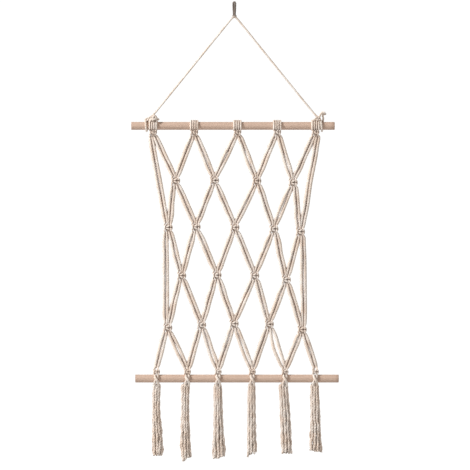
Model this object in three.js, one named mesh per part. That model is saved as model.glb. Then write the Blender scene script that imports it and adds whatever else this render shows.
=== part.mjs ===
// Knotted cotton wall hanging on two wooden dowels.
//
// Units are millimetres and +Z is up. The hanging is seen from -Y, with the wall at +Y.
// The origin is where the nail carries the hanging cord, inside the top of its loop.
import * as THREE from "three";

// ---- driving dimensions -------------------------------------------------------------
const DOWEL_LENGTH = 305;
const DOWEL_DIAMETER = 12;
const CORD_DIAMETER = 5; // cotton cord of the net, where it runs free
const TIGHT = 0.56; // share of that diameter left where a knot squeezes the cord
const HANGING_CORD_DIAMETER = 3.2;
const LOOP_HEIGHT = 20; // nail seat to the little knot where the two legs part
const LEG_DROP = 164; // that knot to the axis of the top dowel
const NET_DROP = 379; // axis of the top dowel to axis of the bottom dowel
const NAIL_TO_CENTRE = -2; // the top dowel's middle, across from the nail
const BOTTOM_SHIFT = 6; // the bottom dowel has slid this far in its knots
const TASSEL_RADIUS_TOP = 6.4;
const TASSEL_RADIUS_TIP = 8.5;
const TASSEL_DROPS = [116, 122, 119, 114, 113, 109]; // bottom dowel's axis to cut ends
const STRUT_TAPER = 18; // from a knot to where its cords are full thickness again
const GAP = 0.3; // clearance between neighbours that touch on the real piece

// Knots of the net. "across" is a share of half a dowel, from the dowel's middle, and
// "down" a share of the net's height. A hand-tied net is never quite regular.
const TOP_KNOTS = [-0.786, -0.382, 0.043, 0.434, 0.81];
const NET_ROWS = [
  { first: 2, across: [-0.566, -0.183, 0.233, 0.59], down: [0.217, 0.216, 0.218, 0.224] },
  { first: 0, across: [-0.639, -0.365, 0.017, 0.401, 0.662], down: [0.402, 0.4, 0.402, 0.408, 0.419] },
  { first: 2, across: [-0.506, -0.159, 0.212, 0.523], down: [0.593, 0.591, 0.593, 0.609] },
  { first: 0, across: [-0.643, -0.31, 0.01, 0.356, 0.679], down: [0.799, 0.788, 0.783, 0.785, 0.806] },
];
const BOTTOM_KNOTS = [-0.753, -0.449, -0.147, 0.189, 0.511, 0.808];

// ---- values that follow from them ---------------------------------------------------
const STRANDS = 4 * TOP_KNOTS.length; // two folded cords hang from each top knot
const DOWEL_RADIUS = DOWEL_DIAMETER / 2;
const FREE_RADIUS = CORD_DIAMETER / 2;
const TIGHT_RADIUS = FREE_RADIUS * TIGHT;
const PITCH = 2 * TIGHT_RADIUS + GAP; // squeezed cords lying side by side
const PAIR_PITCH = CORD_DIAMETER + GAP; // free cords lying side by side
const WRAP_RADIUS = DOWEL_RADIUS + GAP + TIGHT_RADIUS; // middle of a cord round a dowel
const TOP_Z = -(LOOP_HEIGHT + LEG_DROP);
const BOTTOM_Z = TOP_Z - NET_DROP;
const HALF_DOWEL = DOWEL_LENGTH / 2;
const KNOT_HALF_HEIGHT = 1.35 * PITCH;
const TOP_KNOT_DROP = WRAP_RADIUS + 1.5 * TIGHT_RADIUS + KNOT_HALF_HEIGHT;
const BOTTOM_KNOT_RISE = TOP_KNOT_DROP;
const HEAD_RADIUS = 1.3 * PITCH; // round head of a tassel, on which it swings
const HEAD_DROP = DOWEL_RADIUS + 3 * GAP + TIGHT_RADIUS + HEAD_RADIUS;

const point = (x, y, z) => new THREE.Vector3(x, y, z);
const acrossX = (share) => NAIL_TO_CENTRE + share * HALF_DOWEL;

// ---- materials ----------------------------------------------------------------------
const cotton = () => new THREE.MeshStandardMaterial({ color: 0xe6dac8, roughness: 0.95, metalness: 0 });
const wood = () => new THREE.MeshStandardMaterial({ color: 0xd8bda8, roughness: 0.6, metalness: 0 });

// ---- cords --------------------------------------------------------------------------
// A route runs straight from point to point, and a section stands at every point.
class Route extends THREE.Curve {
  constructor(points) {
    super();
    this.points = points;
    this.steps = points.length - 1;
  }

  getPointAt(u) {
    const place = u * this.steps;
    const index = Math.min(Math.floor(place + 1e-6), this.steps - 1);
    return this.points[index].clone().lerp(this.points[index + 1], place - index);
  }

  getTangentAt(u) {
    const index = Math.round(u * this.steps);
    const before = this.points[Math.max(index - 1, 0)];
    const here = this.points[index];
    const after = this.points[Math.min(index + 1, this.steps)];
    const arriving = here.clone().sub(before).normalize();
    const leaving = after.clone().sub(here).normalize();
    return arriving.add(leaving).normalize();
  }
}

// A cord of changing thickness: a straight closed cylinder, bent along the route ring by ring.
function bentCord(points, radii, sides) {
  const route = new Route(points);
  const frames = route.computeFrenetFrames(route.steps, false);
  const geometry = new THREE.CylinderGeometry(1, 1, 1, sides, route.steps);
  const position = geometry.attributes.position;
  const vertex = new THREE.Vector3();
  for (let i = 0; i < position.count; i += 1) {
    vertex.fromBufferAttribute(position, i);
    const ring = Math.round((0.5 - vertex.y) * route.steps);
    const placed = points[ring].clone();
    placed.addScaledVector(frames.normals[ring], vertex.x * radii[ring]);
    placed.addScaledVector(frames.binormals[ring], vertex.z * radii[ring]);
    position.setXYZ(i, placed.x, placed.y, placed.z);
  }
  return geometry;
}

// A cord of one thickness all the way.
function evenCord(points, radius, sides) {
  const section = new THREE.Shape();
  for (let side = 0; side < sides; side += 1) {
    const angle = (2 * Math.PI * side) / sides;
    const corner = [radius * Math.cos(angle), radius * Math.sin(angle)];
    if (side === 0) section.moveTo(...corner);
    else section.lineTo(...corner);
  }
  section.closePath();
  const extrudePath = new Route(points);
  return new THREE.ExtrudeGeometry(section, { steps: extrudePath.steps, extrudePath, bevelEnabled: false });
}

// ---- the knots of the net -----------------------------------------------------------
// A square knot: the two middle strands run straight down and the outer two lie round
// them, the left one across the front and back again, the right one across the back.
const KNOT_SLOTS = [-1.6, -0.54, 0.54, 1.6];
const WORKER_TURN = [
  [-1.6, 0, 1.35],
  [-0.95, 1.04, 0.66],
  [0.95, 1.04, 0.56],
  [1.55, 0.62, 0],
  [0.95, 1.04, -0.56],
  [-0.95, 1.04, -0.66],
  [-1.6, 0, -1.35],
];

function knotPoints(knot, slot) {
  const place = (x, y, z) => point(knot.x + x * PITCH, y * PITCH, knot.z + z * PITCH);
  if (slot === 0) return WORKER_TURN.map(([x, y, z]) => place(x, -y, z));
  if (slot === 3) return WORKER_TURN.map(([x, y, z]) => place(-x, y, z));
  return [place(KNOT_SLOTS[slot], 0, 1.35), place(KNOT_SLOTS[slot], 0, -1.35)];
}

// The knots that one strand runs through, from the top down, and its slot in each.
function knotsOf(strand) {
  const stops = [];
  const top = Math.floor(strand / 4);
  stops.push({ x: acrossX(TOP_KNOTS[top]), z: TOP_Z - TOP_KNOT_DROP, slot: strand % 4 });
  for (const row of NET_ROWS) {
    const place = strand - row.first;
    const index = Math.floor(place / 4);
    if (place < 0 || index >= row.across.length) continue;
    stops.push({ x: acrossX(row.across[index]), z: TOP_Z - row.down[index] * NET_DROP, slot: place % 4 });
  }
  return stops;
}

// Between two knots a strand lies beside its partner, both as thick as they are made.
function strutPoints(from, to, side) {
  const along = to.clone().sub(from).normalize();
  const aside = point(-along.z, 0, along.x).multiplyScalar(side * PAIR_PITCH * 0.5);
  const start = from.clone().addScaledVector(along, STRUT_TAPER).add(aside);
  const end = to.clone().addScaledVector(along, -STRUT_TAPER).add(aside);
  return [start, end];
}

// Middle of the pair of slots that this slot belongs to.
const pairX = (slot) => ((KNOT_SLOTS[0] + KNOT_SLOTS[1]) / 2) * PITCH * (slot < 2 ? 1 : -1);
const pairSide = (strand) => (strand % 2 === 0 ? -1 : 1);

// ---- round the dowels ---------------------------------------------------------------
// From the bight behind the top dowel, up its back, over it, down its front and under it.
// The strand then hangs in front of its own bight, which keeps the fold from slipping.
const WRAP_STEPS = 8;
const WRAP_START = THREE.MathUtils.degToRad(228);
const WRAP_TURN = THREE.MathUtils.degToRad(-308);

function topWrap(strand) {
  const knot = knotsOf(strand)[0];
  const x = knot.x + (knot.slot - 1.5) * PITCH;
  const radius = WRAP_RADIUS / Math.cos(WRAP_TURN / WRAP_STEPS / 2);
  const wrap = [];
  for (let step = 0; step <= WRAP_STEPS; step += 1) {
    const angle = WRAP_START + (step * WRAP_TURN) / WRAP_STEPS;
    wrap.push(point(x, -radius * Math.cos(angle), TOP_Z + radius * Math.sin(angle)));
  }
  return wrap;
}

// Down past the bottom dowel, the inner strands in front and the outer ones behind.
function bottomPass(strand) {
  const { x, slot, lone } = bottomPlace(strand);
  const front = lone ? slot === 0 : slot === 1 || slot === 2;
  const side = lone ? slot * 2 - 1 : slot < 2 ? -1 : 1;
  const depth = front ? -1 : 1;
  const wide = lone ? 0.55 : 1.05;
  const z = BOTTOM_Z;
  const knotTop = z + BOTTOM_KNOT_RISE + 0.8 * PITCH;
  const enterX = lone ? side * 0.6 : KNOT_SLOTS[slot];
  const head = point(x, 0, z - HEAD_DROP);
  const meeting = point(side * 0.55, depth * 0.75, 1).normalize();
  const last = head.clone().addScaledVector(meeting, HEAD_RADIUS + GAP);
  const round = WRAP_RADIUS + 0.5;
  return [
    point(x + enterX * PITCH, depth * 0.2 * PITCH, knotTop),
    point(x + side * wide * PITCH * 0.8, depth * round * 0.72, z + round * 0.86),
    point(x + side * wide * PITCH, depth * round, z + round * 0.25),
    point(x + side * wide * PITCH, depth * round, z - round * 0.3),
    last.clone().addScaledVector(meeting, 1.3 * PITCH),
    last,
  ];
}

// Which bottom knot a strand comes to, and its slot there. The first and last knots
// take two strands only.
function bottomPlace(strand) {
  const index = Math.floor((strand + 2) / 4);
  const lone = index === 0 || index === BOTTOM_KNOTS.length - 1;
  const slot = index === 0 ? strand : (strand + 2) % 4;
  return { x: acrossX(BOTTOM_KNOTS[index]), slot, lone };
}

// ---- one strand and one folded cord -------------------------------------------------
function strandRoute(strand) {
  const points = topWrap(strand);
  const radii = points.map(() => TIGHT_RADIUS);
  const stops = knotsOf(strand);
  const pass = bottomPass(strand);
  stops.forEach((stop, index) => {
    const tied = knotPoints(stop, stop.slot);
    points.push(...tied);
    radii.push(...tied.map(() => TIGHT_RADIUS));
    const from = point(stop.x + pairX(stop.slot), 0, stop.z - KNOT_HALF_HEIGHT);
    const next = stops[index + 1];
    const to = next
      ? point(next.x + pairX(next.slot), 0, next.z + KNOT_HALF_HEIGHT)
      : bottomEntry(strand, pass[0]);
    points.push(...strutPoints(from, to, pairSide(strand)));
    radii.push(FREE_RADIUS, FREE_RADIUS);
  });
  points.push(...pass);
  radii.push(...pass.map(() => TIGHT_RADIUS));
  return { points, radii };
}

function bottomEntry(strand, first) {
  const { x, slot, lone } = bottomPlace(strand);
  return point(lone ? x : x + pairX(slot), 0, first.z);
}

// One cord is folded at its middle: up one strand, across the bight, down the next.
function foldedCord(first) {
  const left = strandRoute(first);
  const right = strandRoute(first + 1);
  const points = [...left.points.reverse(), ...right.points];
  const radii = [...left.radii.reverse(), ...right.radii];
  return bentCord(points, radii, 5);
}

// ---- hanging cord -------------------------------------------------------------------
const HANG_RADIUS = HANGING_CORD_DIAMETER / 2;
const NOOSE_RADIUS = DOWEL_RADIUS + GAP + HANG_RADIUS;
const NOOSE_WALK = HANGING_CORD_DIAMETER + GAP; // sideways, while it goes once round
const NOOSE_OUTWARD = 2 * PITCH + HANG_RADIUS + GAP; // from the outer top knot's middle
const LOOP_TWIST = THREE.MathUtils.degToRad(40); // the loop's right leg stands before its left one

// One turn round the top dowel, from the top over the front.
function noose(x, steps) {
  const turn = [];
  const radius = NOOSE_RADIUS / Math.cos(Math.PI / steps);
  for (let step = 0; step <= steps; step += 1) {
    const angle = (2 * Math.PI * step) / steps;
    const place = x + (NOOSE_WALK * step) / steps;
    turn.push(point(place, -radius * Math.sin(angle), TOP_Z + radius * Math.cos(angle)));
  }
  return turn;
}

// From the short end behind the left noose, up and through the loop on the nail, down to
// the right noose and out to the loose end that stands up there.
function hangingRoute() {
  const left = acrossX(TOP_KNOTS[0]) - NOOSE_OUTWARD;
  const right = acrossX(TOP_KNOTS[TOP_KNOTS.length - 1]) + NOOSE_OUTWARD;
  const apart = HANG_RADIUS + GAP / 2;
  const aside = apart * Math.cos(LOOP_TWIST);
  const behind = apart * Math.sin(LOOP_TWIST);
  const wrapTop = TOP_Z + WRAP_RADIUS + TIGHT_RADIUS + GAP + HANG_RADIUS;
  return [
    point(left + 12.5, 3.6, wrapTop + 0.8),
    point(left + 5.5, 3.6, wrapTop + 0.6),
    point(left - 0.6, 3.6, wrapTop + 0.4),
    point(left - 3.2, 2.4, wrapTop - 1.2),
    ...noose(left - NOOSE_WALK, 12),
    point(left + 2.2, -0.3, wrapTop + 1.2),
    point(left + 6, 0, wrapTop + 3.4),
    point(left + 9.5, 0, wrapTop + 7),
    point(-apart - 3.5, 0, -LOOP_HEIGHT - 4.5),
    point(-aside, behind, -LOOP_HEIGHT),
    point(-aside, behind, -LOOP_HEIGHT * 0.4),
    point(-HANG_RADIUS * 1.2, HANG_RADIUS * 0.3, -2.8),
    point(-HANG_RADIUS * 0.9, 0, HANG_RADIUS * 0.4),
    point(0, 0, HANG_RADIUS),
    point(HANG_RADIUS * 0.9, 0, HANG_RADIUS * 0.4),
    point(HANG_RADIUS * 1.2, -HANG_RADIUS * 0.3, -2.8),
    point(aside, -behind, -LOOP_HEIGHT * 0.4),
    point(aside, -behind, -LOOP_HEIGHT),
    point(apart + 3.5, 0, -LOOP_HEIGHT - 4.5),
    point(right - 9.5, 0, wrapTop + 7),
    point(right - 6, 0, wrapTop + 3.4),
    point(right - 2.2, -0.3, wrapTop + 1.2),
    ...noose(right, 12),
    point(right + NOOSE_WALK + 0.2, 0, wrapTop + 0.8),
    point(right + NOOSE_WALK - 0.8, -0.9, wrapTop + 4.6),
    point(right + NOOSE_WALK + 0.4, -1.3, wrapTop + 7),
    point(right + NOOSE_WALK + 3.4, -1.5, wrapTop + 6.4),
  ];
}

// ---- tassels ------------------------------------------------------------------------
function tasselSolid(drop) {
  const length = drop - HEAD_DROP;
  const outline = [];
  for (const degrees of [90, 60, 30, 5]) {
    const angle = THREE.MathUtils.degToRad(degrees);
    outline.push([HEAD_RADIUS * Math.cos(angle), HEAD_RADIUS * Math.sin(angle)]);
  }
  outline.push([TASSEL_RADIUS_TOP, -10], [TASSEL_RADIUS_TOP * 0.96, -length * 0.45]);
  outline.push([TASSEL_RADIUS_TIP, -length * 0.9], [TASSEL_RADIUS_TIP, -length], [0, -length]);
  const profile = outline.map(([radius, z]) => new THREE.Vector2(Math.abs(radius) < 1e-6 ? 0 : radius, z));
  return new THREE.LatheGeometry(profile.reverse(), 12).rotateX(Math.PI / 2);
}

// ---- assembly -----------------------------------------------------------------------
const hanging = new THREE.Group();

function add(name, geometry, material, x = 0, z = 0) {
  const mesh = new THREE.Mesh(geometry, material);
  mesh.name = name;
  mesh.position.set(x, 0, z);
  hanging.add(mesh);
}

const dowel = () => new THREE.CylinderGeometry(DOWEL_RADIUS, DOWEL_RADIUS, DOWEL_LENGTH, 32).rotateZ(Math.PI / 2);

add("hanging_cord", evenCord(hangingRoute(), HANG_RADIUS, 8), cotton());
add("top_dowel", dowel(), wood(), NAIL_TO_CENTRE, TOP_Z);
add("bottom_dowel", dowel(), wood(), NAIL_TO_CENTRE + BOTTOM_SHIFT, BOTTOM_Z);
for (let cord = 0; cord < STRANDS / 2; cord += 1) {
  add(`net_cord_${String(cord + 1).padStart(2, "0")}`, foldedCord(cord * 2), cotton());
}
TASSEL_DROPS.forEach((drop, index) => {
  const x = acrossX(BOTTOM_KNOTS[index]);
  add(`tassel_${index + 1}`, tasselSolid(drop), cotton(), x, BOTTOM_Z - HEAD_DROP);
});

export default hanging;
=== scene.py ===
# %% [markdown]
# # A knotted cotton wall hanging
# Ten long cotton cords are folded over a round stick, tied in square knots on alternate
# strands so that open diamonds appear, passed round a second stick and unravelled into
# tassels. A thin cord carries it on a nail. The sizes and the moving bodies come from the
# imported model. This script makes what one sees: the twist of every cord, the knots, the
# frayed ends and the grain of the wood. It is in metres, +Z up, seen from -Y.

# %% The frame
import math

import bpy
import numpy as np
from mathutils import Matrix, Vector
from mathutils.kdtree import KDTree


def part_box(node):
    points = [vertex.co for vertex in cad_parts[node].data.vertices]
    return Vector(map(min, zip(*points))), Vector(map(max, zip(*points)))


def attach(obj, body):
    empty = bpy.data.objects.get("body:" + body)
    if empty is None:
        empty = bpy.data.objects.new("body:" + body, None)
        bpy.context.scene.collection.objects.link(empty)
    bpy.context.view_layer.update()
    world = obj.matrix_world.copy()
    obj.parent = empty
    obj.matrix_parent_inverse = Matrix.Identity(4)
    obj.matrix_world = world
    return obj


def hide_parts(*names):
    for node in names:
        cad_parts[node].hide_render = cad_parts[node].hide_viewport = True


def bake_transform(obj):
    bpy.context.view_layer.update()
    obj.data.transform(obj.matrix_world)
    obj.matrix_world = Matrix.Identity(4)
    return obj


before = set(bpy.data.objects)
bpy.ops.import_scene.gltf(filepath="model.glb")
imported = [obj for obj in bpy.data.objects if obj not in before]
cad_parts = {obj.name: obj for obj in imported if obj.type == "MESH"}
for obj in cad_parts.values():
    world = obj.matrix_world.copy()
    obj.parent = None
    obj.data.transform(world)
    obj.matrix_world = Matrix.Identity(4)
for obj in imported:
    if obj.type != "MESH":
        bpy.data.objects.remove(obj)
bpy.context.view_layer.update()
MM = 0.001

# %% [markdown]
# ## Where things are
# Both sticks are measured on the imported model, so the net is laid out between their axes.
# A hand-tied net is never quite regular, and each knot has its own place: "across" is a
# share of half a stick from its middle, "down" a share of the height between the sticks.

# %% The layout of the net
top_low, top_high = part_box("top_dowel")
bottom_low, bottom_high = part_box("bottom_dowel")
DOWEL_RADIUS = (top_high.z - top_low.z) / 2
HALF_DOWEL = (top_high.x - top_low.x) / 2
CENTRE_X = (top_high.x + top_low.x) / 2
TOP_Z = (top_high.z + top_low.z) / 2
BOTTOM_Z = (bottom_high.z + bottom_low.z) / 2
NET_DROP = TOP_Z - BOTTOM_Z

FREE = 2.6 * MM  # radius of a net cord where it runs free
TIGHT = 1.4 * MM  # and where a knot squeezes it
TOP_KNOTS = [-0.786, -0.382, 0.043, 0.434, 0.81]
NET_ROWS = [
    (2, [-0.566, -0.183, 0.233, 0.59], [0.217, 0.216, 0.218, 0.224]),
    (0, [-0.639, -0.365, 0.017, 0.401, 0.662], [0.402, 0.4, 0.402, 0.408, 0.419]),
    (2, [-0.506, -0.159, 0.212, 0.523], [0.593, 0.591, 0.593, 0.609]),
    (0, [-0.643, -0.31, 0.01, 0.356, 0.679], [0.799, 0.788, 0.783, 0.785, 0.806]),
]
BOTTOM_KNOTS = [-0.753, -0.449, -0.147, 0.189, 0.511, 0.808]


def across_x(share):
    """Where a knot at that share of half a stick stands."""
    return CENTRE_X + share * HALF_DOWEL


print(f"sticks {2 * DOWEL_RADIUS / MM:.1f} mm thick, {NET_DROP / MM:.0f} mm apart")

# %% [markdown]
# ## The camera
# A long lens a few metres away, level with the middle of the hanging, sees it square on.

# %% Camera
VIEW_WIDTH = 0.705
VIEW_DISTANCE = 4.0
VIEW_X = 0.001
VIEW_Z = -0.3477
camera = bpy.data.objects.new("camera", bpy.data.cameras.new("camera"))
camera.data.lens = camera.data.sensor_width * VIEW_DISTANCE / VIEW_WIDTH
camera.location = (VIEW_X, -VIEW_DISTANCE, VIEW_Z)
camera.rotation_euler = (math.radians(90), 0, 0)
bpy.context.scene.collection.objects.link(camera)
bpy.context.scene.camera = camera
print(f"lens {camera.data.lens:.0f} mm")

# %% [markdown]
# ## Trees of nodes, written as sums
# Materials and Geometry Nodes are both trees of sockets. A small class wraps one socket,
# so that a formula such as `1 - mask * 0.5` adds its Math nodes by itself. Any other node
# comes from one method, which takes its type, its settings and what feeds its sockets.


# %% Sockets as values
class Value:
    """An output socket in a tree. Arithmetic on it adds Math nodes."""

    def __init__(self, tree, socket):
        self.tree = tree
        self.socket = socket

    def out(self, name):
        """Another output of the same node."""
        return Value(self.tree, self.socket.node.outputs[name])

    def maths(self, operation, *values):
        return self.tree.node("ShaderNodeMath", {"operation": operation}, dict(enumerate(values)))

    def __add__(self, other):
        return self.maths("ADD", self, other)

    def __sub__(self, other):
        return self.maths("SUBTRACT", self, other)

    def __rsub__(self, other):
        return self.maths("SUBTRACT", other, self)

    def __mul__(self, other):
        return self.maths("MULTIPLY", self, other)

    def __truediv__(self, other):
        return self.maths("DIVIDE", self, other)

    def __pow__(self, other):
        return self.maths("POWER", self, other)

    def __abs__(self):
        return self.maths("ABSOLUTE", self)

    def sin(self):
        return self.maths("SINE", self)

    def cos(self):
        return self.maths("COSINE", self)

    def above(self, low, high):
        """0 below low, 1 above high, and a smooth step between them."""
        settings = {"interpolation_type": "SMOOTHSTEP"}
        inputs = {"Value": self, "From Min": low, "From Max": high}
        return self.tree.node("ShaderNodeMapRange", settings, inputs)

    __radd__ = __add__
    __rmul__ = __mul__


class Tree:
    """A node tree that is written from left to right."""

    def __init__(self, tree):
        self.tree = tree
        tree.nodes.clear()

    def node(self, kind, settings=None, inputs=None, output=0):
        node = self.tree.nodes.new(kind)
        for name, value in (settings or {}).items():
            setattr(node, name, value)
        for name, value in (inputs or {}).items():
            if isinstance(value, Value):
                self.tree.links.new(value.socket, node.inputs[name])
            else:
                node.inputs[name].default_value = value
        return Value(self, node.outputs[output]) if len(node.outputs) else node

    def mix(self, share, one, other):
        """Two colours mixed by a share."""
        return self.node("ShaderNodeMix", {"data_type": "RGBA"}, {0: share, 6: one, 7: other}, output=2)

    def noise(self, place, scale, detail=2.0, roughness=0.5):
        sizes = {"Vector": place, "Scale": scale, "Detail": detail, "Roughness": roughness}
        return self.node("ShaderNodeTexNoise", None, sizes)

    def stretched(self, place, scale, turn=(0, 0, 0)):
        """A place, turned and scaled along each axis."""
        return self.node("ShaderNodeMapping", None, {"Vector": place, "Scale": scale, "Rotation": turn})


def linear(red, green, blue):
    """A colour given in display units of 0 to 255, as light."""
    shares = [channel / 255 for channel in (red, green, blue)]
    return tuple(s / 12.92 if s <= 0.04045 else ((s + 0.055) / 1.055) ** 2.4 for s in shares)


# %% [markdown]
# ## Room and light
# A white floor under a white sky, with one large soft light from the upper left, a weak
# one from the right and one behind. Floor and sky are brighter to the camera than they are as
# lights, so that no shadow lies on the floor and the cords keep their own shade.

# %% Floor, sky and lights
SCENE = bpy.context.scene
SCENE.view_settings.view_transform = "Standard"
FLOOR_Z = -0.80
FLOOR_HALF = 40.0
FLOOR_PAINT = (0.6, 0.6, 0.6, 1)
FLOOR_GLOW = 1.25  # what the camera sees of the floor instead of its paint
FLOOR_GLOW_SHARE = 0.8
KEY_LIGHT = ((-2.7, -1.5, 1.5), 0.8, 128.0)  # place, width and watts
FILL_LIGHT = ((1.6, -2.8, 0.2), 1.6, 9.0)
BACK_LIGHT = ((1.4, 2.6, 1.2), 1.6, 60.0)
SKY_AS_LIGHT = 0.36
SKY_SEEN = 1.05
SKY_TINT = (1.0, 0.92, 0.85)
LIGHT_TARGET = Vector((0, 0, -0.36))


def floor_material():
    material = bpy.data.materials.new("white_floor")
    material.use_nodes = True
    tree = Tree(material.node_tree)
    paint = tree.node("ShaderNodeBsdfPrincipled", None, {"Base Color": FLOOR_PAINT, "Roughness": 0.9})
    glow = tree.node("ShaderNodeEmission", None, {"Strength": FLOOR_GLOW})
    seen = tree.node("ShaderNodeLightPath") * FLOOR_GLOW_SHARE
    floor = tree.node("ShaderNodeMixShader", None, {0: seen, 1: paint, 2: glow})
    tree.node("ShaderNodeOutputMaterial", None, {"Surface": floor})
    return material


def add_floor():
    signs = ((-1, -1), (1, -1), (1, 1), (-1, 1))
    corners = [(x * FLOOR_HALF, y * FLOOR_HALF, FLOOR_Z) for x, y in signs]
    mesh = bpy.data.meshes.new("floor")
    mesh.from_pydata(corners, [], [(0, 1, 2, 3)])
    mesh.materials.append(floor_material())
    floor = bpy.data.objects.new("floor", mesh)
    SCENE.collection.objects.link(floor)


def add_light(name, place, size, power):
    light = bpy.data.lights.new(name, "AREA")
    light.shape = "DISK"
    light.size = size
    light.energy = power
    holder = bpy.data.objects.new(name, light)
    holder.location = place
    holder.rotation_euler = (LIGHT_TARGET - Vector(place)).to_track_quat("-Z", "Y").to_euler()
    SCENE.collection.objects.link(holder)


def add_sky():
    world = bpy.data.worlds.new("sky")
    world.use_nodes = True
    SCENE.world = world
    tree = Tree(world.node_tree)
    seen = tree.node("ShaderNodeLightPath")
    glow = seen * (SKY_SEEN - SKY_AS_LIGHT) + SKY_AS_LIGHT
    colour = tree.mix(seen, (*SKY_TINT, 1), (1, 1, 1, 1))
    sky = tree.node("ShaderNodeBackground", None, {"Color": colour, "Strength": glow})
    tree.node("ShaderNodeOutputWorld", None, {"Surface": sky})


add_floor()
add_sky()
add_light("key_light", *KEY_LIGHT)
add_light("fill_light", *FILL_LIGHT)
add_light("back_light", *BACK_LIGHT)
print("floor, sky and three lights")

# %% [markdown]
# ## Cotton
# Undyed cotton is a warm white with no gloss. What makes it read as cord is the shade in
# the groove between two plies, the fine yarns that slant across each ply, and a little
# colour drift along its length. Every cord carries three attributes from its making:
# where a point is around the cord, how far along it is, and how deep in a groove. The
# pattern is laid out on those, so it follows each bend of each cord.


# %% The cotton material
COTTON_WARM = linear(237, 222, 207)
COTTON_PALE = linear(250, 244, 236)
GROOVE_SHADE = linear(158, 112, 82)
# painted shade of the nail loop above its tie
PAINTED_LOOP_SHADE = linear(70, 54, 44)
CREVICE_SHADE = linear(128, 86, 60)
NET_YARN = 0.0006  # width of one yarn
THIN_YARN = 0.0004
FRAY_YARN = 0.0003
LOOP_SHADE_ABOVE = -0.0195  # just over the tie at the neck of the nail loop
LOOP_SHADE_FADE = 0.003
DRIFT_SCALE = 60.0  # colour patches in a metre


def cotton_material(name, shade, yarn_size, touch=0.85, loop_shade_above=None):
    """Cotton cord. shade is how dark its grooves are, yarn_size how wide one yarn is, and
    touch how much painted shade darkens it against another cord. Above the height that the
    last argument gives, the cord is painted dark brown: painted shade in the nail loop."""
    material = bpy.data.materials.new(name)
    material.use_nodes = True
    tree = Tree(material.node_tree)
    around = tree.node("ShaderNodeAttribute", {"attribute_name": "around"}, output="Vector")
    along = tree.node("ShaderNodeAttribute", {"attribute_name": "along"}, output="Fac")
    groove = tree.node("ShaderNodeAttribute", {"attribute_name": "groove"}, output="Fac")
    ends = tree.node("ShaderNodeSeparateXYZ", None, {"Vector": around})
    place = tree.node("ShaderNodeCombineXYZ", None, {"X": ends, "Y": ends.out("Y"), "Z": along})
    fibres = tree.noise(tree.stretched(place, (1 / yarn_size, 1 / yarn_size, 0.12 / yarn_size)), 1.0, 3.0)
    slant = tree.stretched(place, (1 / yarn_size, 1 / yarn_size, 0.5 / yarn_size), (0.5, 0.35, 0))
    yarns = tree.noise(slant, 0.8, 2.0)
    object_place = tree.node("ShaderNodeTexCoord", output="Object")
    drift = tree.noise(object_place, DRIFT_SCALE, 2.0)
    colour = tree.mix(drift.above(0.3, 0.7), (*COTTON_WARM, 1), (*COTTON_PALE, 1))
    dark = (*GROOVE_SHADE, 1)
    colour = tree.mix(groove.above(0.4, 1.0) * shade, colour, dark)
    colour = tree.mix(fibres.above(0.2, 0.75) * -0.22 + 0.22, colour, dark)
    # painted shade where the cord lies against another cord
    crevice = tree.node("ShaderNodeAttribute", {"attribute_name": "crevice"}, output="Fac")
    colour = tree.mix(crevice * touch, colour, (*CREVICE_SHADE, 1))
    # painted shade: above that height, in the nail loop, the cotton is painted dark brown
    if loop_shade_above is not None:
        height = tree.node("ShaderNodeSeparateXYZ", None, {"Vector": object_place}, "Z")
        loop_shade_share = height.above(loop_shade_above - LOOP_SHADE_FADE, loop_shade_above + LOOP_SHADE_FADE)
        colour = tree.mix(loop_shade_share * (fibres * 0.25 + 0.72), colour, (*PAINTED_LOOP_SHADE, 1))
    bump = tree.node("ShaderNodeBump", None, {
        "Strength": 0.6, "Distance": 0.00025, "Height": fibres * 0.6 + yarns * 0.8})
    shader = tree.node("ShaderNodeBsdfPrincipled", None, {
        "Base Color": colour, "Roughness": fibres * 0.12 + 0.82, "Normal": bump,
        "Sheen Weight": 0.25, "Sheen Roughness": 0.6, "Specular IOR Level": 0.2})
    tree.node("ShaderNodeOutputMaterial", None, {"Surface": shader})
    return material


net_cotton = cotton_material("net_cotton", 0.15, NET_YARN)
tassel_cotton = cotton_material("tassel_cotton", 1.0, THIN_YARN, touch=0.3)
hanging_cotton = cotton_material("hanging_cotton", 0.2, THIN_YARN, 0.6, LOOP_SHADE_ABOVE)
fray_cotton = cotton_material("fray_cotton", 0.4, FRAY_YARN)
print("four cottons")

# %% [markdown]
# ## Wood
# The sticks are turned from a pale straight-grained wood and left bare. Growth rings are
# nested tubes round a pith that lies outside the stick and almost in line with it, so one
# field of rings gives long streaks on the sides and arcs on the cut ends.


# %% The wood material
WOOD_EARLY = linear(216, 191, 173)
WOOD_LATE = linear(192, 164, 146)
WOOD_PORE = linear(160, 128, 108)
PITH_SLOPE = 0.012  # how far the pith leans from the stick's axis, for each metre
RING_WAVE = 2900.0  # radians in a metre, which makes a ring every 2.2 mm
RING_SWAY = 0.0022


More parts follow.
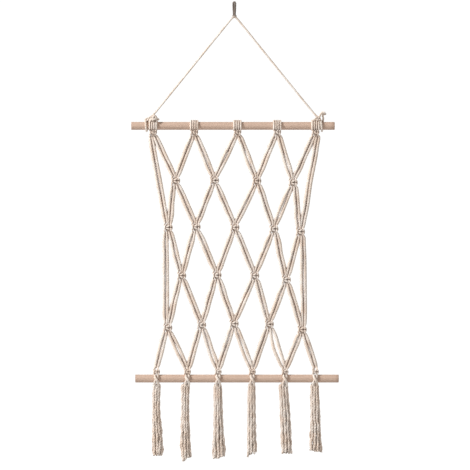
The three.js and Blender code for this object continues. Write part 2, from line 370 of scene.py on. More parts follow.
def wood_material(name, pith_y, pith_z):
    material = bpy.data.materials.new(name)
    material.use_nodes = True
    tree = Tree(material.node_tree)
    place = tree.node("ShaderNodeTexCoord", output="Object")
    sway = tree.noise(tree.stretched(place, (7, 60, 60)), 1.0, 2.0)
    ends = tree.node("ShaderNodeSeparateXYZ", None, {"Vector": place})
    y = ends.out("Y") - pith_y + ends * PITH_SLOPE
    z = ends.out("Z") - pith_z
    distance = (y * y + z * z) ** 0.5
    rings = ((distance + sway * RING_SWAY) * RING_WAVE).sin() * 0.5 + 0.5
    streaks = tree.noise(tree.stretched(place, (35, 1500, 1500)), 1.0, 3.0, 0.6)
    pores = tree.noise(tree.stretched(place, (120, 4200, 4200)), 1.0, 1.0)
    patches = tree.noise(tree.stretched(place, (9, 50, 50)), 1.0, 2.0)
    late = rings * 0.5 + streaks.above(0.35, 0.7) * 0.4
    colour = tree.mix(late, (*WOOD_EARLY, 1), (*WOOD_LATE, 1))
    colour = tree.mix(patches.above(0.35, 0.75) * 0.25, colour, (*WOOD_LATE, 1))
    colour = tree.mix(pores.above(0.62, 0.74) * 0.45, colour, (*WOOD_PORE, 1))
    rim = tree.node("ShaderNodeAttribute", {"attribute_name": "rim"}, output="Fac")
    colour = tree.mix(rim * 0.35, colour, (*WOOD_PORE, 1))
    height = streaks * 0.5 - pores.above(0.6, 0.75) * 0.6 + rings * 0.2
    bump = tree.node("ShaderNodeBump", None, {"Strength": 0.35, "Distance": 0.0002, "Height": height})
    shader = tree.node("ShaderNodeBsdfPrincipled", None, {
        "Base Color": colour, "Roughness": streaks * 0.2 + 0.5, "Normal": bump,
        "Specular IOR Level": 0.3})
    tree.node("ShaderNodeOutputMaterial", None, {"Surface": shader})
    return material


top_wood = wood_material("top_wood", 0.016, -0.02)
bottom_wood = wood_material("bottom_wood", -0.012, 0.024)
print("two woods")

# %% [markdown]
# ## Cords that follow a path
# A cord is plies wound round each other. Every one here is a path of points with a
# thickness, and a Geometry Nodes tree sweeps a lobed outline along it, one lobe for each
# ply. The outline turns once in every length of lay, which gives the slanting plies.


# %% The tree that lays a cord
CORD_INPUTS = {"Plies": "Int", "Sides": "Int", "Lay": "Float", "Groove": "Float", "Material": "Material"}
AROUND_SIZE = 0.002  # the yarns' pattern is laid on a cord of this radius


def store(tree, geometry, name, kind, value):
    """Keeps a value on the points of a path or an outline, under a name."""
    return tree.node("GeometryNodeStoreNamedAttribute", {"data_type": kind},
                     {"Geometry": geometry, "Name": name, "Value": value})


def cord_tree():
    """Inputs: the path, plies, sides of a ply, length of lay, depth of the grooves, material."""
    group = bpy.data.node_groups.new("laid_cord", "GeometryNodeTree")
    face = group.interface
    face.new_socket("Path", in_out="INPUT", socket_type="NodeSocketGeometry")
    for name, kind in CORD_INPUTS.items():
        face.new_socket(name, in_out="INPUT", socket_type=f"NodeSocket{kind}")
    face.new_socket("Cord", in_out="OUTPUT", socket_type="NodeSocketGeometry")
    tree = Tree(group)
    given = tree.node("NodeGroupInput")
    plies, sides, groove = given.out("Plies"), given.out("Sides"), given.out("Groove")
    turn = 2 * math.pi

    walked = tree.node("GeometryNodeSplineParameter").out("Length")
    corner = tree.node("GeometryNodeInputIndex")
    path = store(tree, given, "along", "FLOAT", walked)
    tilt = tree.node("GeometryNodeInputCurveTilt") + walked * turn / given.out("Lay")
    path = tree.node("GeometryNodeSetCurveTilt", None, {"Curve": path, "Tilt": tilt})

    circle = {"Resolution": plies * sides, "Radius": 1.0}
    outline = tree.node("GeometryNodeCurvePrimitiveCircle", None, circle)
    angle = corner / sides / plies * turn
    depth = 1 - abs((angle * plies * 0.5).cos())
    outline = store(tree, outline, "groove", "FLOAT", depth)
    size = 1 - depth ** 1.5 * groove
    shape = tree.node("ShaderNodeCombineXYZ", None, {"X": angle.cos() * size, "Y": angle.sin() * size})
    moved = {"Geometry": outline, "Position": shape}
    outline = tree.node("GeometryNodeSetPosition", None, moved)

    radius = tree.node("GeometryNodeInputRadius")
    wrapped = {"X": angle.cos() * AROUND_SIZE, "Y": angle.sin() * AROUND_SIZE}
    around = tree.node("ShaderNodeCombineXYZ", None, wrapped)
    outline = store(tree, outline, "around", "FLOAT_VECTOR", around)
    sweep = {"Curve": path, "Profile Curve": outline, "Scale": radius, "Fill Caps": True}
    cord = tree.node("GeometryNodeCurveToMesh", None, sweep)
    cord = tree.node("GeometryNodeRealizeInstances", None, {"Geometry": cord})
    painted = {"Geometry": cord, "Material": given.out("Material")}
    cord = tree.node("GeometryNodeSetMaterial", None, painted)
    tree.node("NodeGroupOutput", None, {"Cord": cord})
    return group


LAID_CORD = cord_tree()
print("tree laid_cord,", len(LAID_CORD.nodes), "nodes")


# %% Paths and cords
CURVE_STEPS = 24  # between two rows, before the path is walked in even steps
GOLDEN_ANGLE = 2.4  # each cord starts turned on by this, so that no two plies line up


def smooth_path(rows, step):
    """Even steps along a smooth curve through rows of x, y, z, radius. The curve is a
    centripetal Catmull-Rom spline, which makes no loops where rows lie close together."""
    rows = np.array(rows, float)
    points = np.vstack([2 * rows[0] - rows[1], rows, 2 * rows[-1] - rows[-2]])
    gaps = np.linalg.norm(np.diff(points[:, :3], axis=0), axis=1) ** 0.5
    pieces = []
    for i in range(1, len(points) - 2):
        before, here, after, later = points[i - 1:i + 3]
        a, b, c = gaps[i - 1:i + 2]
        leave = ((here - before) / a - (after - before) / (a + b) + (after - here) / b) * b
        arrive = ((after - here) / b - (later - here) / (b + c) + (later - after) / c) * b
        t = np.linspace(0, 1, CURVE_STEPS, endpoint=False)[:, None]
        bend = (t ** 3 - 2 * t ** 2 + t) * leave + (t ** 3 - t ** 2) * arrive
        pieces.append((2 * t ** 3 - 3 * t ** 2 + 1) * here + (3 * t ** 2 - 2 * t ** 3) * after + bend)
    dense = np.vstack([*pieces, rows[-1:]])
    walked = np.concatenate([[0], np.cumsum(np.linalg.norm(np.diff(dense[:, :3], axis=0), axis=1))])
    even = np.linspace(0, walked[-1], max(3, round(walked[-1] / step) + 1))
    return np.column_stack([np.interp(even, walked, dense[:, k]) for k in range(4)])


def path_length(path):
    return float(np.linalg.norm(np.diff(path[:, :3], axis=0), axis=1).sum())


def lay_cords(name, paths, cord, material):
    """One mesh of laid cords, one cord along each path. cord gives the plies, the sides of
    a ply, the length of lay and the depth of the grooves."""
    curve = bpy.data.curves.new(name, "CURVE")
    curve.dimensions = "3D"
    for path in paths:
        spline = curve.splines.new("POLY")
        spline.points.add(len(path) - 1)
        spline.points.foreach_set("co", np.column_stack([path[:, :3], np.ones(len(path))]).ravel())
        spline.points.foreach_set("radius", path[:, 3])
        spline.points.foreach_set("tilt", np.full(len(path), GOLDEN_ANGLE * len(curve.splines)))
    holder = bpy.data.objects.new(name + "_path", curve)
    SCENE.collection.objects.link(holder)
    laying = holder.modifiers.new("laid_cord", "NODES")
    laying.node_group = LAID_CORD
    given = {**cord, "Material": material}
    for socket in LAID_CORD.interface.items_tree:
        if socket.name in given:
            laying[socket.identifier] = given[socket.name]
    return take_mesh(name, holder, material)


def take_mesh(name, holder, material):
    """The evaluated result of a holder's nodes as a plain, smooth mesh piece."""
    shapes = bpy.context.evaluated_depsgraph_get()
    mesh = bpy.data.meshes.new_from_object(
        holder.evaluated_get(shapes), preserve_all_data_layers=True, depsgraph=shapes)
    mesh.name = name
    mesh.materials.clear()
    mesh.materials.append(material)
    mesh.polygons.foreach_set("material_index", np.zeros(len(mesh.polygons), np.int32))
    mesh.shade_smooth()
    bpy.data.objects.remove(holder)
    piece = bpy.data.objects.new(name, mesh)
    SCENE.collection.objects.link(piece)
    print(f"{name}: {len(mesh.vertices)} points, {len(mesh.polygons)} faces")
    return piece


# %% [markdown]
# ## Painted shade between cords
# Where two cords touch, little light gets in. Each point of a cord keeps how much it faces
# the nearest other cord, and a brown shade is painted into the cotton there.


# %% Crevices
CREVICE_REACH = 1.1 * MM  # two cords further apart than this leave no shade
SAME_STRAND = 9 * MM  # along one path, nearer places than this do not shade each other
SEARCH = 2.3  # how far a neighbour's middle is looked for, in radii
FACING_FROM, FACING_OVER = 0.35, 0.5  # a point faces a neighbour from here, over this span


def shade_crevices(pieces):
    """Takes pairs of a piece and its paths, and keeps "crevice" on the points of each: how
    much painted shade the cotton gets there.
    """
    rings = np.vstack([path for piece, paths in pieces for path in paths])
    walked, owner = [], []
    for piece, paths in pieces:
        for path in paths:
            owner.append(np.full(len(path), len(owner)))
            steps = np.linalg.norm(np.diff(path[:, :3], axis=0), axis=1)
            walked.append(np.concatenate([[0], np.cumsum(steps)]))
    owner, walked = np.concatenate(owner), np.concatenate(walked)
    tree = KDTree(len(rings))
    for index, ring in enumerate(rings):
        tree.insert(ring[:3], index)
    tree.balance()
    first = 0
    for piece, paths in pieces:
        count = sum(len(path) for path in paths)
        points = np.empty(len(piece.data.vertices) * 3)
        piece.data.vertices.foreach_get("co", points)
        points = points.reshape(count, -1, 3)
        shade = np.zeros(points.shape[:2])
        for row in range(count):
            here = rings[first + row]
            others = []
            for place, index, distance in tree.find_range(here[:3], here[3] * SEARCH + CREVICE_REACH):
                far_along = abs(walked[index] - walked[first + row]) > SAME_STRAND
                if owner[index] != owner[first + row] or far_along:
                    near = 1 - (distance - here[3] - rings[index, 3]) / CREVICE_REACH
                    others.append((min(near, 1.0), *((rings[index, :3] - here[:3]) / distance)))
            others = np.array([other for other in others if other[0] > 0])
            if len(others):
                out = points[row] - here[:3]
                out /= np.linalg.norm(out, axis=1)[:, None]
                facing = np.clip((out @ others[:, 1:].T - FACING_FROM) / FACING_OVER, 0, 1)
                shade[row] = (facing ** 1.5 * others[:, 0]).max(axis=1)
        kept = piece.data.attributes.new("crevice", "FLOAT", "POINT")
        kept.data.foreach_set("value", shade.ravel())
        first += count
    print("shaded", len(rings), "rings")


# %% [markdown]
# ## Frayed ends
# Cotton that is cut opens into its yarns. At each cut end a few thin yarns start inside
# the cord and spread a little past it.


# %% Yarns at a cut end
rng = np.random.default_rng(7)


FRAY = {"Plies": 2, "Sides": 3, "Lay": 2.4 * MM, "Groove": 0.2}
FRAY_STEP = 0.8 * MM


def frays(paths, yarns, splay, reach):
    """Short yarns that come apart at the end of each path."""
    ends = []
    for path in paths:
        tip, back, inside = path[-1, :3], path[-9, :3], path[-1, 3] * 0.45
        ahead = (tip - back) / np.linalg.norm(tip - back)
        right = np.cross(ahead, (0.1, 1.0, 0.2))
        right /= np.linalg.norm(right)
        for yarn in range(yarns):
            angle = 2 * math.pi * yarn / yarns + rng.uniform(0, 1)
            side = right * math.cos(angle) + np.cross(ahead, right) * math.sin(angle)
            length = rng.uniform(0.4, 1.0) * reach
            flare = rng.uniform(0.3, 1.0) * splay
            middle = tip + side * (inside + flare * 0.55) + ahead * length * 0.6
            last = tip + side * (inside + flare * 1.3) + ahead * length * rng.uniform(0.5, 1.0)
            thick = path[-1, 3] * 0.34
            ends.append(smooth_path([
                (*(back + side * inside * 0.6), thick), (*(tip + side * inside), thick),
                (*middle, thick * 0.9), (*last, thick * 0.5)], FRAY_STEP))
    return ends


# %% [markdown]
# ## The hanging cord
# One thin cord: a noose round the left of the upper stick, up to the nail and over it in
# a narrow loop, and down to a second noose on the right, where its end stands free. Its
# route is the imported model's, point for point, and a smooth curve runs through it.

# %% Route of the hanging cord
HANG_RADIUS = 1.6 * MM
HANGING = {"Plies": 3, "Sides": 5, "Lay": 7.5 * MM, "Groove": 0.22}
TIE = {"Plies": 2, "Sides": 4, "Lay": 3 * MM, "Groove": 0.2}
PATH_STEP = 0.7 * MM
GAP = 0.3 * MM
TIE_RADIUS = 1.4 * MM  # a squeezed net cord, which the nooses lie beside
WRAP_RADIUS = DOWEL_RADIUS + GAP + TIE_RADIUS
NOOSE_RADIUS = DOWEL_RADIUS + GAP + HANG_RADIUS
NOOSE_WALK = 2 * HANG_RADIUS + GAP
NOOSE_OUTWARD = 2 * (2 * TIE_RADIUS + GAP) + HANG_RADIUS + GAP
LOOP_HEIGHT = 20 * MM
LOOP_TWIST = math.radians(40)  # the loop's right leg stands before its left one
CORD_TOP = TOP_Z + WRAP_RADIUS + TIE_RADIUS + GAP + HANG_RADIUS


def noose(x, steps):
    """One turn round the upper stick, from the top over the front."""
    turn = []
    for step in range(steps + 1):
        angle = 2 * math.pi * step / steps
        across = x + NOOSE_WALK * step / steps
        turn.append((across, -NOOSE_RADIUS * math.sin(angle), TOP_Z + NOOSE_RADIUS * math.cos(angle)))
    return turn


def hanging_route():
    """From the hidden end at the left noose to the free end at the right one."""
    left = across_x(TOP_KNOTS[0]) - NOOSE_OUTWARD
    right = across_x(TOP_KNOTS[-1]) + NOOSE_OUTWARD
    end = right + NOOSE_WALK
    apart = HANG_RADIUS + GAP / 2
    aside, behind = apart * math.cos(LOOP_TWIST), apart * math.sin(LOOP_TWIST)

    def near(x, aside, y, above):
        return (x + aside * MM, y * MM, CORD_TOP + above * MM)

    up_to_nail = [
        (-aside, behind, -LOOP_HEIGHT), (-aside, behind, -LOOP_HEIGHT * 0.4),
        (-HANG_RADIUS * 0.92, HANG_RADIUS * 0.55, -2.8 * MM),
        (-HANG_RADIUS * 0.85, HANG_RADIUS * 0.2, HANG_RADIUS * 0.4),
    ]
    back_down = [(-x, -y, z) for x, y, z in reversed(up_to_nail)]
    return [
        near(left, 12.5, 3.6, 0.8), near(left, 5.5, 3.6, 0.6), near(left, -0.6, 3.6, 0.4),
        near(left, -3.2, 2.4, -1.2), *noose(left - NOOSE_WALK, 12),
        near(left, 2.2, -0.3, 1.2), near(left, 6, 0, 3.4), near(left, 9.5, 0, 7),
        (-apart - 3.5 * MM, 0, -LOOP_HEIGHT - 4.5 * MM),
        *up_to_nail, (0, 0, HANG_RADIUS), *back_down,  # over the nail
        (apart + 3.5 * MM, 0, -LOOP_HEIGHT - 4.5 * MM),
        near(right, -9.5, 0, 7), near(right, -6, 0, 3.4), near(right, -2.2, -0.3, 1.2),
        *noose(right, 12),
        near(end, 0.2, 0, 0.8), near(end, -0.8, -0.9, 4.6),
        near(end, 0.4, -1.3, 7), near(end, 3.4, -1.5, 6.4),
    ]


hanging_path = smooth_path([(*point, HANG_RADIUS) for point in hanging_route()], PATH_STEP)
hanging_cord = lay_cords("hanging_cord_cotton", [hanging_path], HANGING, hanging_cotton)
print(f"hanging cord {path_length(hanging_path):.3f} m")

# %% [markdown]
# ## Its hitches
# The spare cord at each noose is tucked round the leg and makes a small lump on the
# stick. At the neck of the nail loop a thread is wound round both legs.


# %% Hitches and the tie
def placed(x, points):
    """A path of the thin cord through points in mm, measured from a place on the upper stick."""
    rows = [(x + a * MM, b * MM, TOP_Z + c * MM, HANG_RADIUS) for a, b, c in points]
    return smooth_path(rows, PATH_STEP)


def left_hitch():
    """Two crossing turns, one between them and one round their foot: a small pointed lump."""
    x = across_x(TOP_KNOTS[0]) + 1.2 * MM
    turns = [
        [(-5, -7, 6), (-4.4, -6.8, 9.5), (-2.2, -4.8, 13), (0.8, -1.8, 15.2),
         (3, 1.2, 13.8), (4.4, 4, 10), (4.6, 6, 7)],
        [(5, -7.4, 6), (4.3, -7.4, 9.6), (2, -6.6, 13), (-0.8, -3.9, 16),
         (-3.2, 0.4, 14.4), (-4.4, 3.6, 10.6), (-4.8, 6, 7)],
        [(-1.6, -8.4, 6.8), (-1.2, -8.8, 10.2), (-0.4, -7, 13.6),
         (0.4, -2.2, 15.8), (1, 2.6, 13.4), (1.4, 5.6, 8.6)],
        [(-6.4, -3.4, 9.4), (-3.4, -7.8, 9.8), (0.4, -9.8, 9.4), (4, -7.8, 9.8),
         (6.6, -3.4, 9.8), (6.4, 1.4, 9.8), (2.8, 5.2, 9.4)],
    ]
    return [placed(x, points) for points in turns]


def right_hitch():
    """A turn round the foot of the leg, and the second end that stands beside the first."""
    x = across_x(TOP_KNOTS[-1]) + 1.0 * MM
    turn = [
        (-4.2, -5, 8), (-1.6, -6.8, 10.8), (1.8, -6, 12.6), (4.6, -2, 13),
        (4.8, 2, 11.8), (2, 5, 10.6), (-3, 5, 8.6),
    ]
    second_end = [
        (1, -6.8, 7.4), (3.6, -6.6, 11.6), (5.8, -5, 15),
        (7.4, -4.4, 18.2), (9.8, -4.5, 20.2), (12.4, -4.7, 19.4),
    ]
    return [placed(x, points) for points in (turn, second_end)]


def neck_tie():
    """Three and a half turns of thread round the two legs of the nail loop."""
    wide, deep, thread_radius = 2.95 * MM, 2.8 * MM, 0.55 * MM
    steps_round, turns, start, pitch = 12, 3.5, 1.8, 0.085
    rows = []
    for step in range(round(steps_round * turns) + 1):
        angle = 2 * math.pi * step / steps_round
        z = -LOOP_HEIGHT + (start - step * pitch) * MM
        rows.append((wide * math.cos(angle), deep * math.sin(angle), z, thread_radius))
    return [smooth_path(rows, 0.6 * MM)]


left_turns, right_turns = left_hitch(), right_hitch()
cut_ends = [right_turns[1], hanging_path, hanging_path[::-1]]
HITCHES = [
    lay_cords("left_hitch", left_turns, HANGING, hanging_cotton),
    lay_cords("right_hitch", right_turns, HANGING, hanging_cotton),
    lay_cords("loop_tie", neck_tie(), TIE, hanging_cotton),
    lay_cords("hanging_cord_frays", frays(cut_ends, 6, 0.9 * MM, 2.2 * MM), FRAY, fray_cotton),
]
shade_crevices([(hanging_cord, [hanging_path]), (HITCHES[0], left_turns), (HITCHES[1], right_turns)])
for hitch in HITCHES:
    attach(hitch, "hanger")

# %% [markdown]
# ## Square knots
# Two inner strands run straight through. The left outer one crosses the front, passes
# through the right one's bend, and comes back across the front below. The right outer one
# does the same across the back, and shows in front as one upright at the left. The bends
# are set out in cord thicknesses, for the upper half, and the lower half mirrors it.

# %% The knot's bends
LEFT_WORKER = [
    (-2.62, 0.05, 2.2), (-2.45, 0.1, 1.15), (-1.7, -0.15, 0.62), (-1.2, -0.8, 0.55), (-0.5, -1.08, 0.7),
    (0.5, -1.08, 1.15), (1.2, -0.8, 1.45), (1.75, -0.15, 1.55), (2.4, 0.1, 1.35), (2.68, 0.1, 0.6),
]
RIGHT_WORKER = [
    (1.9, -0.35, 2.75), (2.1, -0.95, 2.1), (2.2, -1.15, 1.4), (1.9, -0.85, 0.75), (1.62, 0, 0.53),
    (1.25, 0.8, 0.62), (0.5, 1.08, 0.85), (-0.5, 1.08, 1.3), (-1.25, 0.8, 1.6), (-1.62, 0, 1.68),
    (-1.75, -0.8, 1.62), (-2.2, -1.05, 1.05), (-2.3, -1.08, 0),
]
FILLER = 0.56  # how far each straight strand stands from the knot's middle
KNOT_TOP = 2.4


def mirrored(half):
    """The upper half of a strand's bends, and the same again below."""
    lower = [(x, y, -z) for x, y, z in reversed(half) if z > 0]
    return half + lower


KNOT_BENDS = [
    mirrored(LEFT_WORKER),
    [(-FILLER, 0, KNOT_TOP), (-FILLER, 0, 0), (-FILLER, 0, -KNOT_TOP)],
    [(FILLER, 0, KNOT_TOP), (FILLER, 0, 0), (FILLER, 0, -KNOT_TOP)],
    mirrored(RIGHT_WORKER),
]


def knot_rows(knot, slot):
    """One strand's rows through a knot."""
    unit = 2 * knot["radius"]
    across, tall = unit * knot["wide"], unit * knot["tall"]
    rows = []
    for x, y, z in KNOT_BENDS[slot]:
        rows.append((knot["x"] + x * across, y * unit + knot["y"], knot["z"] + z * tall, knot["radius"]))
    return rows


# %% [markdown]
# ## The net
# Each of the ten cords is one long path from a tassel, up through its knots, over the
# upper stick, across its fold and down again. Between two knots a strand lies beside its
# partner, a little off straight, and swells from its squeezed to its full thickness.

# %% The strands
STRANDS = 4 * len(TOP_KNOTS)
LONE_STRANDS = (0, 1, STRANDS - 2, STRANDS - 1)  # they come to the outer lower knots
STRAND_PITCH = 3.2 * MM
WRAP_THICK = 1.6 * MM  # radius of a strand round the upper stick
WRAP_CLEAR = 0.15 * MM
WRAP_DEGREES = (228, 200, 170, 140, 110, 80, 50, 20, -10, -40)
PAIR_PITCH = 4.95 * MM
NET_CORD = {"Plies": 4, "Sides": 5, "Lay": 15 * MM, "Groove": 0.07}
NET_STEP = 0.95 * MM
TOP_KNOT = {"y": -2.6 * MM, "radius": 1.25 * MM, "wide": 0.72, "tall": 0.62}
NET_KNOT = {"y": 0, "radius": TIGHT, "wide": 0.76, "tall": 0.7}
BOTTOM_KNOT = {"y": -2.4 * MM, "radius": 1.25 * MM, "wide": 0.62, "tall": 0.6}
TOP_KNOT_Z = TOP_Z - DOWEL_RADIUS - 3.4 * MM
BOTTOM_KNOT_Z = BOTTOM_Z + DOWEL_RADIUS + 4.2 * MM
KNOT_CLEAR = 3.0 * MM  # from a knot's end to where its strands run free
PAIR_OUT = 1.35  # where a pair leaves its knot, in cord thicknesses from the middle
# Shares of a free stretch, and how much of its full thickness the strand has there.
SWELL = ((0.0, 0.78), (0.08, 0.93), (0.22, 1.0), (0.5, 1.0), (0.78, 1.0), (0.92, 0.93), (1.0, 0.78))


def knots_of(strand):
    """The knots that a strand runs through from the top down, and its slot in each."""
    top = {"x": across_x(TOP_KNOTS[strand // 4]), "z": TOP_KNOT_Z, **TOP_KNOT}
    stops = [(top, strand % 4)]
    for first, across, down in NET_ROWS:
        index, slot = divmod(strand - first, 4)
        if 0 <= index < len(across):
            knot = {"x": across_x(across[index]), "z": TOP_Z - down[index] * NET_DROP, **NET_KNOT}
            stops.append((knot, slot))
    index, slot = divmod(strand + 2, 4)
    if strand in LONE_STRANDS:
        slot = 3 * (strand % 2)
    bottom = {"x": across_x(BOTTOM_KNOTS[index]), "z": BOTTOM_KNOT_Z, **BOTTOM_KNOT}
    stops.append((bottom, slot))
    return stops


def over_stick(strand):
    """From the fold behind the upper stick, up its back, over it and down its front."""
    knot, slot = knots_of(strand)[0]
    x = knot["x"] + (slot - 1.5) * STRAND_PITCH
    ring = DOWEL_RADIUS + WRAP_THICK + WRAP_CLEAR
    rows = []
    for degrees in WRAP_DEGREES:
        angle = math.radians(degrees)
        rows.append((x, -ring * math.cos(angle), TOP_Z + ring * math.sin(angle), WRAP_THICK))
    return rows


def strut_rows(start, end, side, slack):
    """A free stretch between two knots, beside its partner."""
    along = end - start
    aside = Vector((-along.z, 0, along.x)).normalized() * side
    rows = []
    for share, swell in SWELL:
        middle = math.sin(math.pi * share)
        apart = PAIR_PITCH / 2 * swell + slack * middle + rng.normal(0, 0.12) * MM
        place = start + along * share + aside * apart
        place.y += (rng.normal(0, 0.5) * middle - 0.3 * side * (share - 0.5)) * MM
        place.x += rng.normal(0, 0.25) * middle * MM
        rows.append((*place, FREE * swell * rng.normal(1.0, 0.015)))
    return rows


def pair_side(slot):
    """The left pair of a knot's strands, or the right one."""
    return -1 if slot < 2 else 1


def round_bottom(knot, slot, strand):
    """Past the lower stick: the inner strands cross in front of it, the outer ones go
    behind. Each row is across and up in mm, out from the stick's axis, and thickness."""
    x, ring = knot["x"], DOWEL_RADIUS + knot["radius"]
    side = pair_side(slot)
    if slot in (1, 2) or strand in LONE_STRANDS:
        over = (3.0 if side < 0 else 0.2) * MM
        rows = [
            (2.1, ring * 0.95, 4.6, 1.7), (1.7, ring + over * 0.7, 1.8, 2.0),
            (-0.6, ring + over, -1.4, 2.0), (-2.3, ring * 0.85 + over * 0.4, -5.2, 2.0),
            (-2.7, ring * 0.6, -8.6, 1.7), (-2.3, ring * 0.45, -11.5, 1.2),
        ]
    else:
        rows = [
            (2.1, -ring * 0.92, 4.4, 1.5), (2.6, -ring - 0.6 * MM, 0.6, 1.7), (2.5, -ring, -3.4, 1.7),
            (2.1, -ring * 0.72, -7.0, 1.7), (2.2, -ring * 0.5, -11.5, 1.1),
        ]
    return [(x + side * a * MM, -out, BOTTOM_Z + up * MM, thick * MM) for a, out, up, thick in rows]


# How far a strand's last stretch hangs away from its partner, where it is slack, in mm.
SLACK = {2: 0.5, 3: 0.5, 5: 0.3, 6: 0.7, 7: 0.5, 10: 0.8, 11: 0.5, 14: 3.0, 15: 0.6}


def strand_rows(strand):
    """One strand from the fold down to where its tassel begins."""
    rows = over_stick(strand)
    stops = knots_of(strand)
    side = -1 if strand % 2 == 0 else 1
    for number, (knot, slot) in enumerate(stops):
        rows += knot_rows(knot, slot)
        if number + 1 == len(stops):
            break
        below, below_slot = stops[number + 1]
        reach = KNOT_TOP * 2 * knot["radius"] * knot["tall"] + KNOT_CLEAR
        reach_below = KNOT_TOP * 2 * below["radius"] * below["tall"] + KNOT_CLEAR
        pair = PAIR_OUT * 2 * knot["radius"] * pair_side(slot)
        pair_below = PAIR_OUT * 2 * below["radius"] * pair_side(below_slot) * below["wide"]
        last = number + 2 == len(stops)
        if strand in LONE_STRANDS and last:
            pair_below = 0.0
        start = Vector((knot["x"] + pair, 0, knot["z"] - reach))
        end = Vector((below["x"] + pair_below, 0, below["z"] + reach_below))
        slack = SLACK.get(strand, 0.15) * MM * (1.0 if last else 0.12)
        rows += strut_rows(start, end, side, slack)
    knot, slot = stops[-1]
    rows += round_bottom(knot, slot, strand)
    return rows


def add_net():
    """Ten cords, each one path from tassel to tassel."""
    pieces = []
    lengths = []
    for cord in range(STRANDS // 2):
        left, right = strand_rows(2 * cord), strand_rows(2 * cord + 1)
        path = smooth_path(left[::-1] + right, NET_STEP)
        piece = lay_cords(f"net_cord_{cord + 1:02d}_cotton", [path], NET_CORD, net_cotton)
        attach(piece, "net")
        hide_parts(f"net_cord_{cord + 1:02d}")
        pieces.append((piece, [path]))
        lengths.append(path_length(path))
    shade_crevices(pieces)
    print("net cords, m:", ", ".join(f"{length:.2f}" for length in lengths))


add_net()

# %% [markdown]
# ## Tassels
# Below the lower stick the cords are unravelled. Their plies keep the crimp of the old
# twist and hang in a bundle, each ply still three yarns twisted together, cut off roughly
# level and frayed.

# %% The plies of a tassel
STATIONS = (0.0, 0.4, 0.75, 1.0)
TASSELS = [  # at those shares of its length, in mm: its middle's lean and its half width
    {"lean": (0.6, -0.5, 1.9, 2.0), "half": (6.4, 6.1, 8.6, 7.9), "slant": 0.0, "splay": 0.8},
    {"lean": (-2.9, -3.4, -3.2, -1.3), "half": (7.0, 6.5, 7.8, 7.9), "slant": 4.5, "splay": 0.9},
    {"lean": (-0.4, 0.0, 0.8, 1.3), "half": (6.6, 7.1, 9.0, 10.0), "slant": 1.8, "splay": 0.8},
    {"lean": (-0.8, -0.9, -0.7, -0.4), "half": (6.2, 6.5, 7.4, 7.9), "slant": 3.2, "splay": 0.9},
    {"lean": (-2.4, 0.0, 1.7, 2.0), "half": (7.2, 8.0, 8.8, 8.4), "slant": -0.6, "splay": 0.9},
    {"lean": (-0.9, 0.0, 0.9, 0.5), "half": (6.6, 7.5, 8.6, 10.2), "slant": -1.0, "splay": 1.9},
]
PLIES = 13
OUTER_PLIES = 9  # round the outside of the bundle, and the rest inside it
PLY_RADIUS = 1.75 * MM
PLY_TOP = 6.4 * MM  # below the lower stick's axis
PLY = {"Plies": 3, "Sides": 5, "Lay": 12.5 * MM, "Groove": 0.5}
PLY_STEP = 0.9 * MM
PLY_SHARES = (0.045, 0.1, 0.2, 0.35, 0.5, 0.65, 0.8, 0.92, 1.0)
CRIMP_WAVE = 14 * MM


def bundle_place(ply):
    """Where a ply hangs in the bundle, across and deep, as shares of its half sizes."""
    if ply < OUTER_PLIES:
        angle, out = 2 * math.pi * (ply + 0.5) / OUTER_PLIES, 1.0
    else:
        angle, out = 2 * math.pi * (ply - OUTER_PLIES) / (PLIES - OUTER_PLIES), 0.45
    return out * math.cos(angle), out * math.sin(angle)


def tassel_plies(index):
    """Paths of one tassel's plies, from inside the ends of its strands to their tips."""
    shape = TASSELS[index]
    x = across_x(BOTTOM_KNOTS[index])
    top, tip = BOTTOM_Z - PLY_TOP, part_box(f"tassel_{index + 1}")[0].z
    paths = []
    for ply in range(PLIES):
        across, deep = bundle_place(ply)
        end = tip + (shape["slant"] * across + rng.uniform(0.5, 5.0)) * MM
        start_x = math.copysign(2.0 * MM, across) + across * 0.8 * MM
        start_y = math.copysign(3.4 * MM, deep) + deep * 0.6 * MM
        rows = [(x + start_x, start_y, top, PLY_RADIUS * 0.5)]
        for share in PLY_SHARES:
            lean = np.interp(share, STATIONS, shape["lean"]) * MM
            half = np.interp(share, STATIONS, shape["half"]) * MM - PLY_RADIUS
            depth = (3.6 + 1.6 * share) * MM
            wander = rng.normal(0, 0.25 + 0.3 * share, 2) * MM
            spread = min(1.0, 0.75 + share * 5)
            rows.append((x + lean + across * half * spread + wander[0], deep * depth + wander[1],
                         top + (end - top) * share, PLY_RADIUS * (1 + 0.1 * share)))
        path = smooth_path(rows, PLY_STEP)
        paths.append(crimped(path, rng.uniform(0.25, 0.5) * MM, rng.uniform(0, 2 * math.pi)))
    return paths


def crimped(path, size, phase):
    """The same path with the wave that its old twist has left in it."""
    turn = path[:, 2] / CRIMP_WAVE * 2 * math.pi + phase
    fade = np.linspace(0, 1, len(path)) ** 0.3 * size
    path[:, 0] += np.cos(turn) * fade
    path[:, 1] += np.sin(turn) * fade
    return path


def add_tassel(index):
    """The plies, and the yarns at their tips; the yarns ride the tassel's body."""
    node = f"tassel_{index + 1}"
    paths = tassel_plies(index)
    plies = lay_cords(node + "_plies", paths, PLY, tassel_cotton)
    shade_crevices([(plies, paths)])
    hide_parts(node)
    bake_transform(plies)
    tips = frays(paths, 5, TASSELS[index]["splay"] * MM, 2.4 * MM)
    frayed = lay_cords(node + "_frays", tips, FRAY, fray_cotton)
    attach(frayed, node)


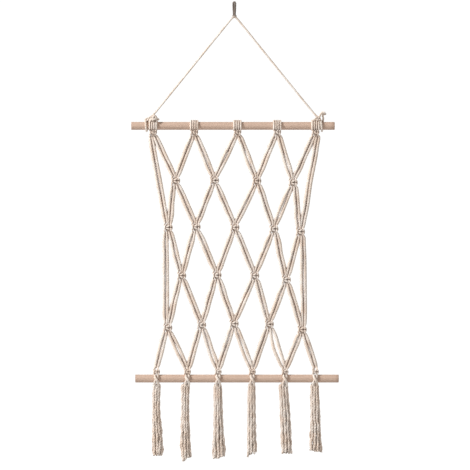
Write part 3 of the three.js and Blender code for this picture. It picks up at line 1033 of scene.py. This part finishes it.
for index in range(len(TASSELS)):
    add_tassel(index)

# %% [markdown]
# ## The sticks
# Each is one outline turned round the X axis, with softened ends. It turns in its cords,
# so it rides its own body.


# %% Wooden sticks
STICK_SOFT = 0.5 * MM  # how much of each end is rounded off
STICK_SECTIONS = 60
STICK_SIDES = 64


def add_stick(name, node, body, material):
    """A stick that replaces a packed one. "rim" marks the worn edge of its ends."""
    low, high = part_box(node)
    radius, middle = (high.z - low.z) / 2, (high.z + low.z) / 2
    length, soft, sides = high.x - low.x, STICK_SOFT, STICK_SIDES
    end = [(0.0, radius - soft), (soft * 0.3, radius - soft * 0.3), (soft, radius)]
    middles = [soft + (length - 2 * soft) * i / STICK_SECTIONS for i in range(1, STICK_SECTIONS)]
    outline = end + [(along, radius) for along in middles]
    outline += [(length - along, out) for along, out in reversed(end)]
    vertices, faces, rim = [], [], []
    for along, out in outline:
        for side in range(sides):
            angle = 2 * math.pi * side / sides
            vertices.append((low.x + along, out * math.sin(angle), middle + out * math.cos(angle)))
            rim.append(1.0 if min(along, length - along) < soft * 1.5 else 0.0)
    for ring in range(len(outline) - 1):
        for side in range(sides):
            a, b = ring * sides + side, ring * sides + (side + 1) % sides
            faces.append((a, a + sides, b + sides, b))
    faces.append(tuple(range(sides)))
    faces.append(tuple(reversed(range(len(vertices) - sides, len(vertices)))))
    mesh = bpy.data.meshes.new(name)
    mesh.from_pydata(vertices, [], faces)
    mesh.attributes.new("rim", "FLOAT", "POINT").data.foreach_set("value", rim)
    mesh.shade_smooth()
    mesh.materials.append(material)
    piece = bpy.data.objects.new(name, mesh)
    SCENE.collection.objects.link(piece)
    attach(piece, body)
    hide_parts(node)


add_stick("top_dowel_wood", "top_dowel", "top_dowel", top_wood)
add_stick("bottom_dowel_wood", "bottom_dowel", "bottom_dowel", bottom_wood)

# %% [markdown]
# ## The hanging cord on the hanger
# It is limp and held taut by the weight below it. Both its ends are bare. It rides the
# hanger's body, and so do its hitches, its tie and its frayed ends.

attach(hanging_cord, "hanger")
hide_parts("hanging_cord")
